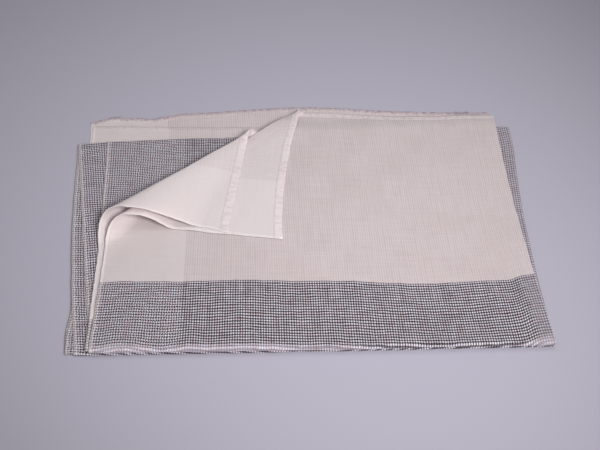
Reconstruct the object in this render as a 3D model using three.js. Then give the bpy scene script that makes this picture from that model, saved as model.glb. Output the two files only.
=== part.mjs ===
// A wide, thin woven scarf, folded in half down its length and then back and forth four times, with the
// back left corner of its top turned over. The cloth is one sheet, so it is one solid.
// Millimetres. X runs across the folded scarf, Y from its front folds to its back, Z up from what it lies on.
import * as THREE from 'three'

const { clamp, lerp, smoothstep } = THREE.MathUtils

// The cloth and how it is stacked
const clothThickness = 1.0
const layerGap = 0.4
const pitch = clothThickness + layerGap // from one layer of cloth to the next
const layerCount = 8
const noseSteps = 5 // facets round each fold
const sagLength = 30 // over which a layer comes down past the edge of one below it
const sagMargin = 3 // how far past that edge it stays up, so that folds stay round

// Where the cloth ends and folds, from its top end down to its bottom end, as seen from above. selvedgeX is
// the woven left edge. The Ys are at that edge, half way and three quarters of the way across, and at the
// long fold down the right side.
const upperHalf = [
  { place: 'top end', selvedgeX: -234, y: 201, yHalf: 200, yNearFold: 183, yLongFold: 179 },
  { place: 'first front fold', selvedgeX: -231, y: -176, yHalf: -182, yNearFold: -184, yLongFold: -186 },
  { place: 'back fold', selvedgeX: -278, y: 146, yHalf: 149, yNearFold: 153, yLongFold: 155 },
  { place: 'second front fold', selvedgeX: -247, y: -175, yHalf: -180, yNearFold: -182, yLongFold: -184 },
  { place: 'bottom end', selvedgeX: -264, y: 194, yHalf: 215, yNearFold: 198, yLongFold: 188 },
]
const lowerHalf = [
  { place: 'top end', selvedgeX: -236, y: 152, yHalf: 160, yNearFold: 170, yLongFold: 179 },
  { place: 'first front fold', selvedgeX: -235, y: -175, yHalf: -181, yNearFold: -184, yLongFold: -186 },
  { place: 'back fold', selvedgeX: -241, y: 147, yHalf: 150, yNearFold: 153, yLongFold: 155 },
  { place: 'second front fold', selvedgeX: -256, y: -174, yHalf: -179, yNearFold: -182, yLongFold: -184 },
  { place: 'bottom end', selvedgeX: -254, y: 181, yHalf: 169, yNearFold: 180, yLongFold: 188 },
]
const halves = [upperHalf, lowerHalf]
const middle = { x: -5.75, y: 13.25 } // of the footprint, which comes to lie over the origin
const acrossKnots = [0, 0.5, 0.75, 1]
const longFoldX = [250, 252, 270, 252, 246] // of the fold down the right side, at the same five places
const backCorner = { drawnIn: 8, over: 0.1 } // where the back fold meets it, as a share of the pass

// The four passes between those places, with how far each edge bows out half way along
const passes = [
  { name: 'top', upperBow: 4.5, lowerBow: 3, longFoldBow: -4.5 },
  { name: 'second', upperBow: 0, lowerBow: 2, longFoldBow: -6.5 },
  { name: 'third', upperBow: 0, lowerBow: 0, longFoldBow: -6.5 },
  { name: 'bottom', upperBow: 0, lowerBow: -10, longFoldBow: -3 },
]

// The layers from the bottom one up, by pass and half
const layers = [
  { pass: 3, half: 0 },
  { pass: 3, half: 1 },
  { pass: 2, half: 1 },
  { pass: 2, half: 0 },
  { pass: 1, half: 0 },
  { pass: 1, half: 1 },
  { pass: 0, half: 1 },
  { pass: 0, half: 0 },
]

// What lies between each layer and the next, from the bottom up: the gap everywhere, and the air that the
// soft layers trap besides over the part of the stack where all of them lie
const airBox = { left: -236, right: 250, front: -178, back: 146, ramp: 90 }
const overLayer = [
  { gap: 0.4, air: 0.15 },
  { gap: 0.4, air: 0.7 },
  { gap: 0.4, air: 0.15 },
  { gap: 0.4, air: 0.3 },
  { gap: 0.4, air: 0.15 },
  { gap: 0.5, air: 0.7 },
  { gap: 1.0, air: 0.2 },
]
const airUneven = { share: 0.25, alongX: 61, alongY: 53 } // it is more here and less there

// The corner that is turned over. Its crease runs from the left selvedge to the top hem. alongCrease is
// measured from the middle of the crease, and roundness is the radius of the turn, loose at the left.
const crease = { x: -128, y: 86, angle: THREE.MathUtils.degToRad(41.3) }
const creaseAlong = new THREE.Vector2(Math.cos(crease.angle), Math.sin(crease.angle))
const creaseOut = new THREE.Vector2(-Math.sin(crease.angle), Math.cos(crease.angle))
const creaseTable = [
  { alongCrease: -140, roundness: 10.3, lowerRoundness: 13.6 },
  { alongCrease: -70, roundness: 7.8, lowerRoundness: 10.4 },
  { alongCrease: 0, roundness: 4.6, lowerRoundness: 6.6 },
  { alongCrease: 70, roundness: 2.4, lowerRoundness: 4.2 },
  { alongCrease: 180, roundness: 1.7, lowerRoundness: 3.6 },
]
const lowerCreaseOffset = 9.5 // the lower half turns this much further out
const turnedAir = 2.4 // between the turned corner and the layer it lies on
const turnedLayerAir = 1.2 // between its own two layers
const turnedBridge = 14 // it spans this much more of the step behind the back fold
const comingDown = { fromRadii: 1.2, toRadii: 5, andOn: 10 } // from the top of the turn to where it lies
const turnSteps = 7
const cornerSteps = 7

// Smooth curve through a few values at given places
function through(knots, values, at) {
  const slope = (i, j) => (values[j] - values[i]) / (knots[j] - knots[i])
  const last = knots.length - 1
  let i = 0
  while (i < last - 1 && at > knots[i + 1]) i++
  const startSlope = i === 0 ? slope(0, 1) : slope(i - 1, i + 1)
  const endSlope = i + 1 === last ? slope(i, last) : slope(i, i + 2)
  const width = knots[i + 1] - knots[i]
  const t = clamp((at - knots[i]) / width, 0, 1)
  const rest = 1 - t
  return (
    values[i] * rest * rest * (1 + 2 * t) +
    values[i + 1] * t * t * (3 - 2 * t) +
    width * t * rest * (startSlope * rest - endSlope * t)
  )
}

function placeY(half, place, v) {
  const row = halves[half][place]
  return through(acrossKnots, [row.y, row.yHalf, row.yNearFold, row.yLongFold], v)
}

// The left edge of a pass and its long fold, at a fraction of the way along the pass
function selvedgeX(half, pass, fraction) {
  const bow = half === 0 ? passes[pass].upperBow : passes[pass].lowerBow
  const rows = halves[half]
  return lerp(rows[pass].selvedgeX, rows[pass + 1].selvedgeX, fraction) + bow * Math.sin(Math.PI * fraction)
}

function rightX(pass, fraction) {
  const bow = passes[pass].longFoldBow * Math.sin(Math.PI * fraction)
  const fromBackFold = pass === 1 ? 1 - fraction : pass === 2 ? fraction : 1
  const drawnIn = backCorner.drawnIn * (1 - smoothstep(fromBackFold, 0, backCorner.over))
  return lerp(longFoldX[pass], longFoldX[pass + 1], fraction) + bow - drawnIn
}

// A point of a pass seen from above, before any corner is turned over. v is 0 at the selvedge and 1 at the
// long fold.
function flatPoint(half, pass, v, fraction) {
  const x = lerp(selvedgeX(half, pass, fraction), rightX(pass, fraction) - pitch / 2, v)
  const y = lerp(placeY(half, pass, v), placeY(half, pass + 1, v), fraction)
  return new THREE.Vector2(x, y)
}

// How far a point seen from above lies outside a layer
function outsideLayer({ pass, half }, x, y) {
  const left = selvedgeX(half, pass, 0.5)
  const v = clamp((x - left) / (rightX(pass, 0.5) - left), 0, 1)
  const start = placeY(half, pass, v)
  const end = placeY(half, pass + 1, v)
  const fraction = clamp((y - start) / (end - start), 0, 1)
  return Math.max(
    selvedgeX(half, pass, fraction) - x,
    x - rightX(pass, fraction),
    y - Math.max(start, end),
    Math.min(start, end) - y,
  )
}

// Height of the middle of the cloth at a point seen from above. layer counts up from the bottom layer at 0,
// and is a fraction within a fold. bridge is how much further it spans before it comes down past an edge.
function heightAt(x, y, layer, bridge) {
  const { left, right, front, back, ramp } = airBox
  const inside = Math.min(x - left, right - x, y - front, back - y)
  const uneven = airUneven.share * Math.sin(x / airUneven.alongX + 1) * Math.cos(y / airUneven.alongY)
  const loose = smoothstep(inside, 0, ramp) * (1 + uneven)
  let z = clothThickness / 2
  for (let below = 0; below < layerCount - 1; below++) {
    const share = clamp(layer - below, 0, 1)
    if (share === 0) break
    const past = outsideLayer(layers[below], x, y)
    const held = 1 - smoothstep(past, sagMargin + bridge, sagMargin + bridge + sagLength)
    z += share * ((clothThickness + overLayer[below].gap) * held + overLayer[below].air * loose)
  }
  return z + Math.max(0, layer - (layerCount - 1)) * pitch
}

// Where the corner is turned over
function creaseCoordinates(half, x, y) {
  const offset = half === 0 ? 0 : lowerCreaseOffset
  const from = new THREE.Vector2(x - crease.x, y - crease.y)
  return { along: from.dot(creaseAlong), out: from.dot(creaseOut) - offset }
}

function creasePoint(half, along, out) {
  const offset = half === 0 ? 0 : lowerCreaseOffset
  return new THREE.Vector2(crease.x, crease.y)
    .addScaledVector(creaseAlong, along)
    .addScaledVector(creaseOut, out + offset)
}

function roundnessAt(half, along) {
  const knots = creaseTable.map((row) => row.alongCrease)
  const values = creaseTable.map((row) => (half === 0 ? row.roundness : row.lowerRoundness))
  return through(knots, values, clamp(along, knots[0], knots[knots.length - 1]))
}

// The turn starts here, so that the finished corner lies as if mirrored in its crease
function turnStart(half, along) {
  return (-Math.PI / 2) * roundnessAt(half, along)
}

// Moves a point of the top pass to where the turned corner takes it
function turned(half, x, y, layer) {
  const { along, out } = creaseCoordinates(half, x, y)
  const radius = roundnessAt(half, along)
  const start = turnStart(half, along)
  const past = out - start
  if (past <= 0) return { x, y, layer }
  const angle = Math.min(past / radius, Math.PI)
  const beyond = Math.max(0, past - Math.PI * radius)
  const landing = half === 0 ? pitch + turnedAir : 3 * pitch + turnedAir + turnedLayerAir
  const { fromRadii, toRadii, andOn } = comingDown
  const down = smoothstep(beyond, fromRadii * radius, toRadii * radius + andOn)
  const top = lerp(2 * radius, landing, down)
  const lift = angle < Math.PI ? radius * (1 - Math.cos(angle)) : top
  const point = creasePoint(half, along, start + radius * Math.sin(angle) - beyond)
  return { x: point.x, y: point.y, layer, lift, bridge: turnedBridge * (angle / Math.PI) }
}

function settled({ x, y, layer, lift = 0, bridge = 0 }) {
  return new THREE.Vector3(x - middle.x, y - middle.y, heightAt(x, y, layer, bridge) + lift)
}

// A point of the cloth. across is 0 to 1 over the upper half, 1 to 2 round the long fold and 2 to 3 back over
// the lower half. along is 0 to 1 over the first pass, 1 to 2 round the fold after it, and so on to 7.
function clothPoint(across, along) {
  const half = across < 1.5 ? 0 : 1
  const v = half === 0 ? Math.min(across, 1) : Math.min(3 - across, 1)
  const round = clamp(across - 1, 0, 1) * Math.PI
  const offset = (pitch / 2) * Math.cos(round)
  const pass = Math.min(Math.floor(along / 2), passes.length - 1)
  const fraction = clamp(along - 2 * pass, 0, 1)
  const flat = flatPoint(half, pass, v, fraction)
  const x = flat.x + (pitch / 2) * Math.sin(round)
  const passLayer = layerCount - 1.5 - 2 * pass
  const faceUp = pass % 2 === 0 ? 1 : -1
  if (along - 2 * pass <= 1) {
    const layer = passLayer + (faceUp * offset) / pitch
    return pass === 0 ? settled(turned(half, x, flat.y, layer)) : settled({ x, y: flat.y, layer })
  }
  const turn = (along - 2 * pass - 1) * Math.PI
  const radius = pitch + faceUp * offset
  const y = placeY(half, pass + 1, v) - faceUp * radius * Math.sin(turn)
  return settled({ x, y, layer: passLayer - 1 + (radius * Math.cos(turn)) / pitch })
}

// Bisection for where a falling or rising measure reaches zero
function solve(measure, from, to) {
  const rising = measure(to) > measure(from)
  for (let step = 0; step < 50; step++) {
    const middle = (from + to) / 2
    if (measure(middle) > 0 === rising) to = middle
    else from = middle
  }
  return (from + to) / 2
}

// Where a line parallel to the crease meets the selvedge and the hem. turnShare is 0 where the turn starts
// and 1 where it ends.
function creaseLineEnds(half, turnShare) {
  const past = ({ x, y }) => {
    const { along, out } = creaseCoordinates(half, x, y)
    return out - turnStart(half, along) - turnShare * Math.PI * roundnessAt(half, along)
  }
  const fraction = solve((at) => past(flatPoint(half, 0, 0, at)), 1, 0)
  const hemShare = solve((at) => past(flatPoint(half, 0, at, 0)), 0, 1)
  return { selvedge: flatPoint(half, 0, 0, fraction), hem: flatPoint(half, 0, hemShare, 0), hemShare }
}

// Rows and columns of the mesh, closer together where the cloth bends
const evenly = (count) => Array.from({ length: count + 1 }, (_, i) => i / count)
const sharedColumns = [
  0.12, 0.17, 0.23, 0.29, 0.35, 0.4, 0.44, 0.475, 0.51, 0.57, 0.64, 0.73, 0.82, 0.89, 0.945, 0.975, 1,
]
const edgeColumns = [
  [0, 0.017, 0.034, 0.052, 0.075],
  [0, 0.03, 0.06],
]
const topRows = [
  0, 0.02, 0.04, 0.06, 0.08, 0.1, 0.12, 0.14, 0.165, 0.195, 0.25, 0.35, 0.48, 0.64, 0.79, 0.91, 1,
]
const passRows = [0, 0.08, 0.18, 0.32, 0.5, 0.68, 0.82, 0.92, 1]

// A sheet of quads that share their corners
const points = []
const faces = []

function addPoint(point) {
  return points.push(point) - 1
}

function addStrip(rowA, rowB) {
  for (let i = 0; i + 1 < rowA.length; i++) {
    faces.push([rowA[i], rowB[i], rowB[i + 1]], [rowA[i], rowB[i + 1], rowA[i + 1]])
  }
}

function columnsOf(half) {
  const { hemShare } = creaseLineEnds(half, 0)
  const clear = sharedColumns.filter((v) => Math.abs(v - hemShare) > 0.015)
  return [...edgeColumns[half], ...clear, hemShare].sort((a, b) => a - b)
}

const upperColumns = columnsOf(0)
const lowerColumns = columnsOf(1)
const acrossPlaces = [
  ...upperColumns,
  ...evenly(noseSteps).slice(1, -1).map((share) => 1 + share),
  ...lowerColumns.map((v) => 3 - v).reverse(),
]

// Fraction of the top pass at which a column leaves the turn, or 0 where it runs to the hem
function topOfColumn(across) {
  const half = across < 1.5 ? 0 : 1
  const v = half === 0 ? across : 3 - across
  if (across > 1 && across < 2) return 0
  const { hemShare } = creaseLineEnds(half, 0)
  if (v > hemShare - 1e-6) return 0
  return solve((fraction) => {
    const { x, y } = flatPoint(half, 0, v, fraction)
    const { along, out } = creaseCoordinates(half, x, y)
    return out - turnStart(half, along)
  }, 0, 1)
}

function addRow(along) {
  return acrossPlaces.map((across) => addPoint(clothPoint(across, along)))
}

const tops = acrossPlaces.map(topOfColumn)
const firstRow = acrossPlaces.map((across, i) => addPoint(clothPoint(across, tops[i])))
let row = firstRow
for (const share of topRows.slice(1)) {
  const next = acrossPlaces.map((across, i) => addPoint(clothPoint(across, lerp(tops[i], 1, share))))
  addStrip(row, next)
  row = next
}
for (let pass = 0; pass < passes.length; pass++) {
  const along = pass === 0 ? [] : passRows.slice(1).map((share) => 2 * pass + share)
  const foldSteps = pass === passes.length - 1 ? [] : evenly(noseSteps).slice(1)
  const turn = foldSteps.map((share) => 2 * pass + 1 + share)
  for (const place of [...along, ...turn]) {
    const next = addRow(place)
    addStrip(row, next)
    row = next
  }
}

// The turned corner of each half, from the start of its turn to its tip
function addCorner(half, startRow) {
  const begin = creaseLineEnds(half, 0)
  const beginAlong = creaseCoordinates(half, begin.selvedge.x, begin.selvedge.y).along
  const endAlong = creaseCoordinates(half, begin.hem.x, begin.hem.y).along
  const columns = half === 0 ? upperColumns : lowerColumns
  const count = columns.indexOf(begin.hemShare) + 1
  const layer = half === 0 ? layerCount - 1 : layerCount - 2
  const order = half === 0 ? startRow.slice(0, count) : startRow.slice(-count).reverse()
  const shares = columns.slice(0, count).map((v) => {
    const { x, y } = flatPoint(half, 0, v, topOfColumn(half === 0 ? v : 3 - v))
    return (creaseCoordinates(half, x, y).along - beginAlong) / (endAlong - beginAlong)
  })
  const place = (point) => addPoint(settled(turned(half, point.x, point.y, layer)))
  const strip = (near, far) => (half === 0 ? addStrip(far, near) : addStrip(near, far))
  let near = order
  for (let step = 1; step <= turnSteps; step++) {
    const turnShare = step / turnSteps
    const ends = creaseLineEnds(half, turnShare)
    const from = creaseCoordinates(half, ends.selvedge.x, ends.selvedge.y).along
    const to = creaseCoordinates(half, ends.hem.x, ends.hem.y).along
    const far = shares.map((share) => {
      const along = lerp(from, to, share)
      const out = turnStart(half, along) + turnShare * Math.PI * roundnessAt(half, along)
      return place(creasePoint(half, along, out))
    })
    strip(near, far)
    near = far
  }
  const ends = creaseLineEnds(half, 1)
  const tip = flatPoint(half, 0, 0, 0)
  for (let step = 1; step < cornerSteps; step++) {
    const share = step / cornerSteps
    const from = ends.selvedge.clone().lerp(tip, share)
    const to = flatPoint(half, 0, lerp(ends.hemShare, 0, share), 0)
    const far = shares.map((part) => place(from.clone().lerp(to, part)))
    strip(near, far)
    near = far
  }
  const tipPoint = place(tip)
  for (let i = 0; i + 1 < near.length; i++) {
    faces.push(half === 0 ? [near[i], near[i + 1], tipPoint] : [near[i + 1], near[i], tipPoint])
  }
}

addCorner(0, firstRow)
addCorner(1, firstRow)

// Gives a sheet its thickness and closes its edges
function thickened(sheetPoints, sheetFaces, thickness) {
  const sheet = new THREE.BufferGeometry().setFromPoints(sheetPoints)
  sheet.setIndex(sheetFaces.flat())
  sheet.computeVertexNormals()
  const normals = sheet.getAttribute('normal')
  const normal = (i) => new THREE.Vector3().fromBufferAttribute(normals, i)
  const count = sheetPoints.length
  const over = sheetPoints.map((point, i) => point.clone().addScaledVector(normal(i), thickness / 2))
  const under = sheetPoints.map((point, i) => point.clone().addScaledVector(normal(i), -thickness / 2))
  const index = []
  const edges = new Map()
  for (const [a, b, c] of sheetFaces) {
    index.push(a, b, c, a + count, c + count, b + count)
    for (const [from, to] of [[a, b], [b, c], [c, a]]) {
      if (!edges.delete(`${to},${from}`)) edges.set(`${from},${to}`, [from, to])
    }
  }
  for (const [from, to] of edges.values()) {
    index.push(to, from, from + count, to, from + count, to + count)
  }
  const solid = new THREE.BufferGeometry().setFromPoints([...over, ...under])
  solid.setIndex(index)
  return solid
}

const cloth = new THREE.MeshStandardMaterial({ color: 0xd6cac8, roughness: 0.95, metalness: 0 })
const scarf = new THREE.Mesh(thickened(points, faces, clothThickness), cloth)
scarf.name = 'scarf'

const object = new THREE.Group()
object.add(scarf)
export default object
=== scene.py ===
# A wide thin woven scarf, folded in half down its length and then back and forth, with the back left
# corner of its top turned over. Sizes are millimetres until a mesh is made.
import math

import bpy
import numpy as np
from mathutils import Matrix, Vector


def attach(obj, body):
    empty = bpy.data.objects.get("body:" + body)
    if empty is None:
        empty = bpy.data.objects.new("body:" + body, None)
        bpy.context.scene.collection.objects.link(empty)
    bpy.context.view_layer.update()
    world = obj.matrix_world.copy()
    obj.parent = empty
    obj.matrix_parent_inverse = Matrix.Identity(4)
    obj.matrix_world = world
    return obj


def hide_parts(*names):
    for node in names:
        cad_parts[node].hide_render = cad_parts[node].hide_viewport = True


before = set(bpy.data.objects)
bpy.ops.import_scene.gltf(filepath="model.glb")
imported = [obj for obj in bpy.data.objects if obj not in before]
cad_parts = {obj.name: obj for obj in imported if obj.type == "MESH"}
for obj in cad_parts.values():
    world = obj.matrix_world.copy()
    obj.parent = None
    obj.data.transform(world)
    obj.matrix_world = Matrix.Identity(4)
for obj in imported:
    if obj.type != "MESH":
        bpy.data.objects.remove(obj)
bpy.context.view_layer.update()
metres = 0.001
print("frame loaded")


# Camera, at the photograph's place and lens. The image is 600 by 450.
shot = {
    "elevation": 46.5,
    "azimuth": -2.4,
    "lens": 60.0,
    "sensor": 36.0,
    "place": (-33.45, -813.45, 845.3),
    "nearest": 50.0,
}


def makeCamera():
    elevation, azimuth = math.radians(shot["elevation"]), math.radians(shot["azimuth"])
    flat = math.cos(elevation)
    back = Vector((math.sin(azimuth) * flat, -math.cos(azimuth) * flat, math.sin(elevation)))
    right = Vector((math.cos(azimuth), math.sin(azimuth), 0))
    turn = Matrix((right, back.cross(right), back)).transposed()
    data = bpy.data.cameras.new("camera")
    data.lens = shot["lens"]
    data.sensor_width = shot["sensor"]
    data.clip_start = shot["nearest"] * metres
    camera = bpy.data.objects.new("camera", data)
    camera.matrix_world = Matrix.Translation(Vector(shot["place"]) * metres) @ turn.to_4x4()
    bpy.context.scene.collection.objects.link(camera)
    bpy.context.scene.camera = camera


makeCamera()
print("camera made")


# How the cloth is folded: the solid's table, with some folds and ends a few millimetres closer to the
# photograph. Each row is a place where the cloth ends or folds, from its top end down to its bottom end.
# y is at the selvedge, half way, three quarters of the way across, and at the long fold down the right.
knots = (0, 0.5, 0.75, 1)
upperHalf = [
    {"selvedgeX": -234, "y": (201, 200, 183, 179)},  # top end
    {"selvedgeX": -231, "y": (-176, -182, -184, -186)},  # first front fold
    {"selvedgeX": -278, "y": (148, 150, 153, 155)},  # back fold
    {"selvedgeX": -247, "y": (-175, -180, -182, -184)},  # second front fold
    {"selvedgeX": -267, "y": (194, 215, 198, 188)},  # bottom end
]
lowerHalf = [
    {"selvedgeX": -236, "y": (152, 160, 170, 179)},
    {"selvedgeX": -235, "y": (-175, -181, -184, -186)},
    {"selvedgeX": -241, "y": (147, 150, 153, 155)},
    {"selvedgeX": -256, "y": (-174, -179, -182, -184)},
    {"selvedgeX": -263, "y": (184, 173, 182, 188)},
]
halves = (upperHalf, lowerHalf)
longFoldX = (250, 252, 270, 252, 246)
backCorner = {"drawnIn": 3, "over": 0.1}  # of the long fold, as a share of the pass
passes = [  # how far the selvedge of each half and the long fold bow to the right, from the top pass down
    {"bow": (5.5, 1), "longFoldBow": -4.5},
    {"bow": (0, 2), "longFoldBow": -6.5},
    {"bow": (-5, 0), "longFoldBow": -6.5},
    {"bow": (0, -1), "longFoldBow": -3},
]
stack = {  # the eight layers, from the lowest up
    "middle": (-5.75, 13.25),
    "pitch": 1.4,
    "firstLayer": 0.3,  # height of the middle of the lowest layer
    "sagLength": 30,
    "sagMargin": 3,
    "order": [(3, 0), (3, 1), (2, 1), (2, 0), (1, 0), (1, 1), (0, 1), (0, 0)],  # pass and half
    "gap": (1.4, 1.4, 1.4, 1.4, 1.4, 1.5, 2.0),  # from each layer to the next
    "air": (0.15, 0.7, 0.15, 0.3, 0.15, 0.7, 0.2),  # more between them inside the air box
    "airBox": {"left": -236, "right": 250, "front": -178, "back": 146, "ramp": 90},
    "airUneven": {"share": 0.25, "alongX": 61, "alongY": 53},
}
# The turned corner: where its crease lies, and how round each half is along it
corner = {
    "x": -128,
    "y": 86,
    "angle": math.radians(41.3),
    "along": (-140, -70, 0, 70, 180),
    "roundness": ((10.3, 7.8, 4.6, 2.4, 1.7), (13.6, 10.4, 6.6, 4.2, 3.6)),
    "offset": (0, 9.5),  # of the crease of the upper and of the lower half, as in the pairs below
    "looseOver": (73, 123),  # from the selvedge the turn is rounder, wider and further in
    "looser": (4.4, 4.2),
    "wider": (0, 5.4),
    "furtherOut": (-5, -1.9),
    "hemEnd": (174, 94),  # and a little swell where the hem goes round
    "hemSwell": (3.0, 2.2),
    "hemOver": 9,
    "landing": (1.4, 4.6),
    "down": ((0.77, 5.5), (0.23, 7.0)),  # in roundnesses
    "bridge": 14,
}
flap = {  # how the turned corner's edges are drawn about once it lies down
    "hemDrawn": 6.8,  # half way along the upper hem, which is drawn this way
    "hemWay": (-0.99, 0.13),
    "hemOver": 237,
    "hemFade": 70,
    "hemLanding": 40,
    "tip": ((1, -1.5), (1, -7.5)),
    "tipOver": 10,
    "selvedgeBack": 3.0,
    "selvedgeFade": 80,
    "selvedgeFrom": (40, 200),
    "selvedgeLanding": 30,
}
foldBulge = {  # of the lower half where it goes round the second front fold
    "along": 1076,
    "from": 30,
    "over": 15,
    "out": 3.5,
    "across": 60,
}
bottomHem = {  # how far the lowest end wanders outwards
    "share": (0, 0.05, 0.09, 0.12, 0.155, 0.19, 0.23, 0.3, 0.45, 0.55, 0.65, 0.8, 0.93, 1),
    "out": (-1, 5, 2, 0, -4.5, -2.5, 0, -2.5, -2.5, -2, 1, 2.5, 2, 4),
    "over": 60,
}


def smooth(x, start, end):
    t = np.clip((x - start) / (end - start), 0, 1)
    return t * t * (3 - 2 * t)


def mix(a, b, t):
    return a + (b - a) * t


# A smooth curve through the values, read at a place
def through(places, values, at):
    places, values = np.asarray(places, float), np.asarray(values, float)
    i = np.searchsorted(places[1:-1], at, side="left")
    slopes = np.empty(len(places))
    slopes[0] = (values[1] - values[0]) / (places[1] - places[0])
    slopes[-1] = (values[-1] - values[-2]) / (places[-1] - places[-2])
    slopes[1:-1] = (values[2:] - values[:-2]) / (places[2:] - places[:-2])
    width = places[i + 1] - places[i]
    t = np.clip((at - places[i]) / width, 0, 1)
    rest = 1 - t
    ends = values[i] * rest**2 * (1 + 2 * t) + values[i + 1] * t**2 * (3 - 2 * t)
    return ends + width * t * rest * (slopes[i] * rest - slopes[i + 1] * t)


def placeY(half, place, v):
    return through(knots, halves[half][place]["y"], v)


def selvedgeX(half, number, fraction):
    rows = halves[half]
    bow = passes[number]["bow"][half] * np.sin(np.pi * fraction)
    return mix(rows[number]["selvedgeX"], rows[number + 1]["selvedgeX"], fraction) + bow


def rightX(number, fraction):
    bow = passes[number]["longFoldBow"] * np.sin(np.pi * fraction)
    fromBack = {1: 1 - fraction, 2: fraction}.get(number, 1)
    drawnIn = backCorner["drawnIn"] * (1 - smooth(fromBack, 0, backCorner["over"]))
    return mix(longFoldX[number], longFoldX[number + 1], fraction) + bow - drawnIn


def flatPoint(half, number, v, fraction):
    x = mix(selvedgeX(half, number, fraction), rightX(number, fraction) - stack["pitch"] / 2, v)
    return x, mix(placeY(half, number, v), placeY(half, number + 1, v), fraction)


# How far plan points lie outside a layer, negative within it
def outsideLayer(number, half, x, y):
    left = selvedgeX(half, number, 0.5)
    v = np.clip((x - left) / (rightX(number, 0.5) - left), 0, 1)
    start, end = placeY(half, number, v), placeY(half, number + 1, v)
    fraction = np.clip((y - start) / (end - start), 0, 1)
    return np.maximum.reduce([
        selvedgeX(half, number, fraction) - x,
        x - rightX(number, fraction),
        y - np.maximum(start, end),
        np.minimum(start, end) - y,
    ])


# Height of a layer: it lies on those below and sags off their edges, unless it bridges them
def heightAt(x, y, layer, bridge):
    box, patchy = stack["airBox"], stack["airUneven"]
    fromSides = [x - box["left"], box["right"] - x, y - box["front"], box["back"] - y]
    inside = np.minimum.reduce(fromSides)
    uneven = patchy["share"] * np.sin(x / patchy["alongX"] + 1) * np.cos(y / patchy["alongY"])
    loose = smooth(inside, 0, box["ramp"]) * (1 + uneven)
    z = np.full(np.shape(x), stack["firstLayer"])
    for below, (number, half) in enumerate(stack["order"][:-1]):
        share = np.clip(layer - below, 0, 1)
        past = outsideLayer(number, half, x, y)
        margin = stack["sagMargin"] + bridge
        held = 1 - smooth(past, margin, margin + stack["sagLength"])
        z = z + share * (stack["gap"][below] * held + stack["air"][below] * loose)
    return z + np.maximum(0, layer - topLayer) * stack["pitch"]


topLayer = len(stack["gap"])
alongDirection = np.array([math.cos(corner["angle"]), math.sin(corner["angle"])])
outDirection = np.array([-math.sin(corner["angle"]), math.cos(corner["angle"])])


def byHalf(half, name):
    upper, lower = corner[name]
    return np.where(half == 0, upper, lower)


def looseness(half, along):
    return 1 - smooth(along, corner["along"][0], corner["along"][0] + byHalf(half, "looseOver"))


def offsetAt(half, along):
    return byHalf(half, "offset") + byHalf(half, "furtherOut") * looseness(half, along)


def creaseCoordinates(half, x, y):
    dx, dy = x - corner["x"], y - corner["y"]
    along = dx * alongDirection[0] + dy * alongDirection[1]
    return along, dx * outDirection[0] + dy * outDirection[1] - offsetAt(half, along)


def creasePoint(half, along, out):
    out = out + offsetAt(half, along)
    x = corner["x"] + alongDirection[0] * along + outDirection[0] * out
    return x, corner["y"] + alongDirection[1] * along + outDirection[1] * out


def roundnessAt(half, along):
    at = np.clip(along, corner["along"][0], corner["along"][-1])
    upper, lower = (through(corner["along"], values, at) for values in corner["roundness"])
    swell = np.exp(-(((along - byHalf(half, "hemEnd")) / corner["hemOver"]) ** 2) / 2)
    more = byHalf(half, "looser") * looseness(half, along) + byHalf(half, "hemSwell") * swell
    return np.where(half == 0, upper, lower) + more


# Where the turned corner takes points of the top pass
def turned(half, x, y):
    along, out = creaseCoordinates(half, x, y)
    radius = roundnessAt(half, along)
    start = -np.pi / 2 * radius
    past = np.maximum(out - start, 0)
    angle = np.minimum(past / radius, np.pi)
    beyond = np.maximum(0, past - np.pi * radius)
    first, last = (np.where(half == 0, *pair) for pair in zip(*corner["down"]))
    share = smooth(beyond, first * radius, last * radius)
    landing = byHalf(half, "landing")
    lift = np.where(angle < np.pi, radius * (1 - np.cos(angle)), mix(2 * radius, landing, share))
    reach = radius + byHalf(half, "wider") * looseness(half, along)
    newX, newY = creasePoint(half, along, start + reach * np.sin(angle) - beyond)
    isTurned = past > 0
    bridge = corner["bridge"] * angle / np.pi
    return np.where(isTurned, newX, x), np.where(isTurned, newY, y), lift * isTurned, bridge, beyond


def drawnAbout(half, x, y, fromSelvedge, fromHem, beyond):
    alongHem = np.clip(fromSelvedge / flap["hemOver"], 0, 1)
    bowed = flap["hemDrawn"] * np.sin(np.pi * alongHem) * (half == 0)
    bowed = bowed * (1 - smooth(fromHem, 0, flap["hemFade"])) * smooth(beyond, 0, flap["hemLanding"])
    nearTip = np.exp(-(fromSelvedge**2 + fromHem**2) / (2 * flap["tipOver"] ** 2)) * (beyond > 0)
    back = flap["selvedgeBack"] * (1 - smooth(fromSelvedge, 0, flap["selvedgeFade"]))
    back = back * smooth(fromHem, *flap["selvedgeFrom"]) * smooth(beyond, 0, flap["selvedgeLanding"])
    tipX, tipY = (np.where(half == 0, *pair) for pair in zip(*flap["tip"]))
    hemX, hemY = flap["hemWay"]
    return x + hemX * bowed + tipX * nearTip, y + hemY * bowed + tipY * nearTip + back


# Where a measure crosses zero, by halving
def solve(measure, low, high):
    rising = measure(high) > measure(low)
    for _ in range(50):
        middle = (low + high) / 2
        above = (measure(middle) > 0) == rising
        low, high = np.where(above, low, middle), np.where(above, middle, high)
    return (low + high) / 2


# Where a line along the turn meets the selvedge and the hem, at a share of the way round it
def creaseLineEnds(half, share):
    def past(x, y):
        along, out = creaseCoordinates(half, x, y)
        return out + (0.5 - share) * np.pi * roundnessAt(half, along)

    fraction = solve(lambda at: past(*flatPoint(half, 0, 0.0, at)), 1.0, 0.0)
    hemShare = solve(lambda at: past(*flatPoint(half, 0, at, 0.0)), 0.0, 1.0)
    return np.array(flatPoint(half, 0, 0.0, fraction)), float(hemShare)


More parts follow.
